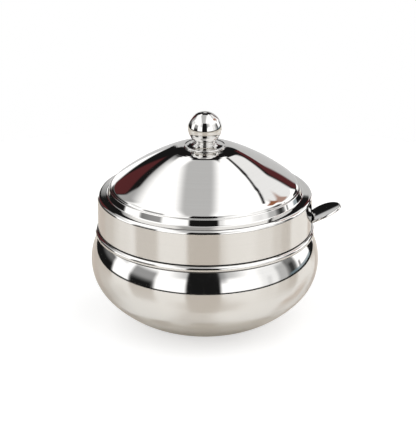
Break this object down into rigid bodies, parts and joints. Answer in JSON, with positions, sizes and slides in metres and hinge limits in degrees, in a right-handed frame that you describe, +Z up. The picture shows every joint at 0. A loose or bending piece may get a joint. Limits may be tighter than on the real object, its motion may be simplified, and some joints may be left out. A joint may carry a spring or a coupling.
{
  "type": "ghee pot",
  "caption": "Round-bellied polished steel ghee pot with a stepped conical lift-off lid, a ball knob and a serving spoon that leans out through a notch in the lid.",
  "frame": {"origin": "centre of the flat base, on the table", "axes": "+Z up along the axis of the pot, +X towards the handle of the spoon"},
  "size_m": [0.1207, 0.11, 0.1045],
  "materials": {
    "pot_steel": "polished",
    "ring_steel": "polished",
    "lid_steel": "polished",
    "knob_steel": "polished",
    "spoon_steel": "polished",
    "fastener_steel": "satin",
    "spring_steel": "satin"
  },
  "bodies": {
    "pot": {"pot_bowl": "pot_steel", "neck_ring": "ring_steel"},
    "lid": {"lid_shell": "lid_steel", "knob_bell": "knob_steel", "knob_ball": "knob_steel", "knob_screw": "fastener_steel", "knob_washer": "fastener_steel", "spring_washer": "spring_steel"},
    "spoon": {"spoon": "spoon_steel"}
  },
  "joints": [
    {"name": "lid_lift", "type": "slide", "parent": "pot", "child": "lid", "axis": [0, 0, 1], "range_m": [0, 0.09]},
    {"name": "spoon_draw", "type": "slide", "parent": "pot", "child": "spoon", "axis": [0.9026, 0, 0.4305], "range_m": [0, 0.04]}
  ]
}
